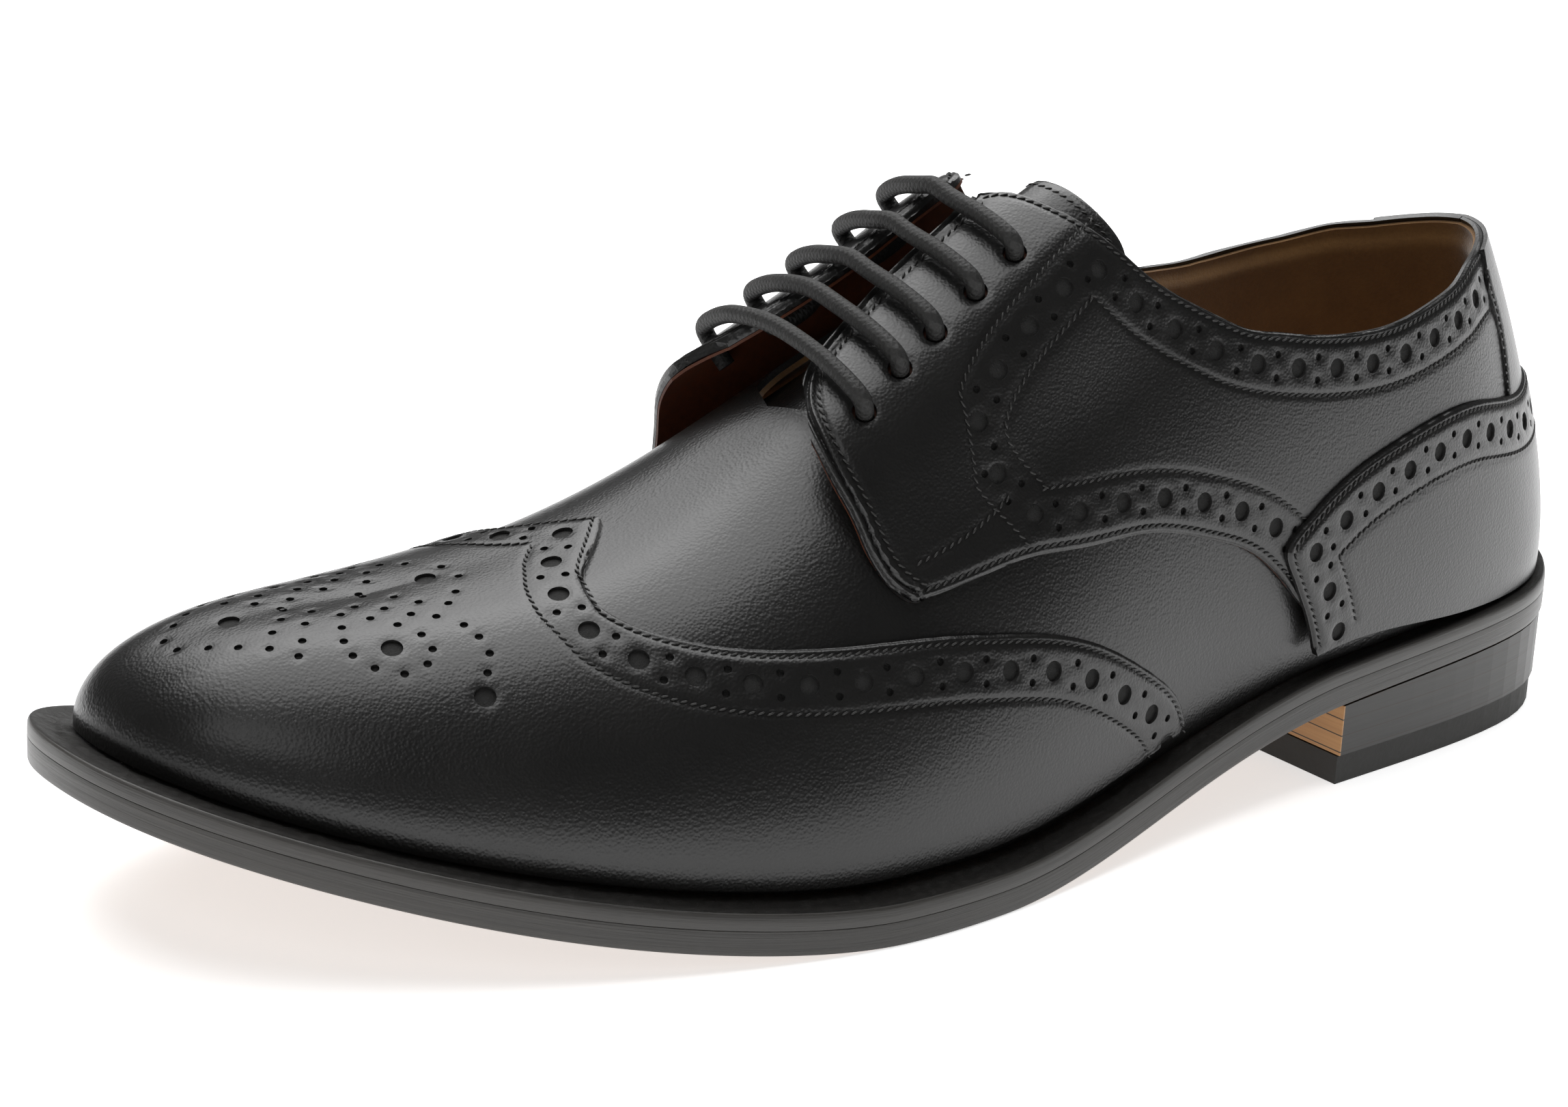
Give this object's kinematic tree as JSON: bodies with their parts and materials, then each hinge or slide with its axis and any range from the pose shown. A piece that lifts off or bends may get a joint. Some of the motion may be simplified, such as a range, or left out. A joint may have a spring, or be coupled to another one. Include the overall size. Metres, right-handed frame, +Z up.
{
  "type": "brogue shoe",
  "caption": "Left wing-tip derby brogue with laced facings, long punched wings, heel counter, welted leather sole and low stacked heel.",
  "frame": {"origin": "centre of the heel's flat underside, on the floor, on the heel's own centreline", "axes": "+X from heel to toe, +Y to the wearer's left, +Z up"},
  "size_m": [0.3125, 0.1089, 0.1145],
  "materials": {
    "upper_leather": "black smooth calf, satin gloss",
    "tongue_leather": "black smooth leather",
    "sole_edge": "inked and burnished sole edge",
    "welt": "black stitched welt, rough on top",
    "heel_leather": "tan stacked leather, black inked sides",
    "top_rubber": "dark grey rubber",
    "insole": "tan sock leather",
    "lace": "round waxed cotton cord"
  },
  "bodies": {
    "root": {"outsole": "sole_edge", "heel_stack": "heel_leather", "top_piece": "top_rubber", "welt": "welt", "insole": "insole", "upper": "upper_leather", "wing_cap": "upper_leather", "quarter_left": "upper_leather", "quarter_right": "upper_leather", "heel_counter": "upper_leather", "tongue": "tongue_leather", "lace": "lace"}
  },
  "joints": []
}
